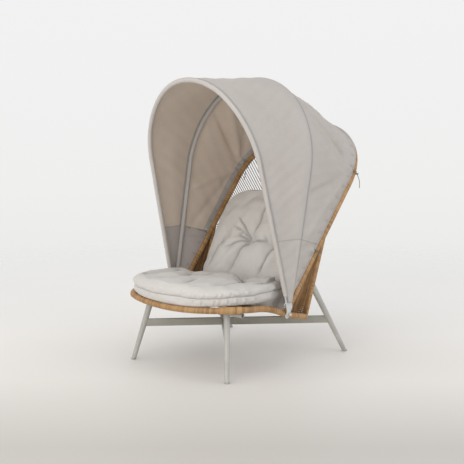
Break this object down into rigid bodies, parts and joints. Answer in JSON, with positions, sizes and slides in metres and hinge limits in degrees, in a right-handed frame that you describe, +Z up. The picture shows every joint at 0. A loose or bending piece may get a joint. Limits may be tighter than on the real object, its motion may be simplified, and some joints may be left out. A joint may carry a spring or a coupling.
{
  "type": "pod chair",
  "caption": "Rope-strung pod lounge chair on a crossed steel base, with a tufted seat and back cushion and a folding fabric canopy.",
  "frame": {"origin": "on the floor, midway between the rim's front and the back arch's top, in the middle of the width", "axes": "+Z up, -Y the way that the sitter faces, +X to the sitter's left seen from the front right"},
  "size_m": [0.876, 1.3194, 1.5102],
  "materials": {
    "frame_white": "satin white powder coat",
    "glide": "white plastic foot glide",
    "zinc_steel": "zinc-plated steel",
    "core_steel": "brown painted steel tube under the wrap",
    "woven_wrap": "wound strands of tan resin wicker",
    "rope": "tan twisted rope",
    "cushion_fabric": "light grey woven outdoor fabric over fibre fill",
    "canopy_fabric": "warm grey woven canopy fabric",
    "tie_cord": "braided cord"
  },
  "bodies": {
    "chair": {"leg_front_left": "frame_white", "leg_front_right": "frame_white", "leg_rear_left": "frame_white", "leg_rear_right": "frame_white", "foot_glides": "glide", "cross_beam_lower": "frame_white", "cross_beam_upper": "frame_white", "beam_bolt": "zinc_steel", "beam_nut": "zinc_steel", "seat_ring_tube": "core_steel", "seat_rim_wrap": "woven_wrap", "seat_base_wrap": "woven_wrap", "front_cross_tube": "frame_white", "rim_bindings": "woven_wrap", "back_arch_tube": "core_steel", "back_arch_wrap": "woven_wrap", "rear_posts": "core_steel", "rear_post_wraps": "woven_wrap", "bracket_left": "frame_white", "bracket_right": "frame_white", "pivot_washers": "zinc_steel", "pivot_cap_nuts": "frame_white", "back_ropes_front": "rope", "back_ropes_rear": "rope", "side_ropes_left": "rope", "side_ropes_right": "rope", "seat_ropes": "rope", "seat_cushion": "cushion_fabric", "back_cushion": "cushion_fabric", "rear_hem": "canopy_fabric", "canopy_ties": "tie_cord", "hem_eyelets": "zinc_steel"},
    "rear_canopy": {"rear_hoop": "frame_white", "rear_hoop_sleeve": "canopy_fabric", "canopy_rear_panel": "canopy_fabric"},
    "front_canopy": {"front_hoop": "frame_white", "front_hoop_sleeve": "canopy_fabric", "canopy_front_panel": "canopy_fabric"}
  },
  "joints": [
    {"name": "rear_hoop_fold", "type": "hinge", "parent": "chair", "child": "rear_canopy", "pos_m": [0, -0.1678, 0.293], "axis": [-1, 0, 0], "range_deg": [0, 17], "deforming": ["canopy_rear_panel"]},
    {"name": "front_hoop_fold", "type": "hinge", "parent": "rear_canopy", "child": "front_canopy", "pos_m": [0, -0.1678, 0.293], "axis": [-1, 0, 0], "range_deg": [0, 12], "deforming": ["canopy_front_panel"]}
  ],
  "couplings": [
    {"joint": "front_hoop_fold", "follows": "rear_hoop_fold", "ratio": 0.7}
  ]
}
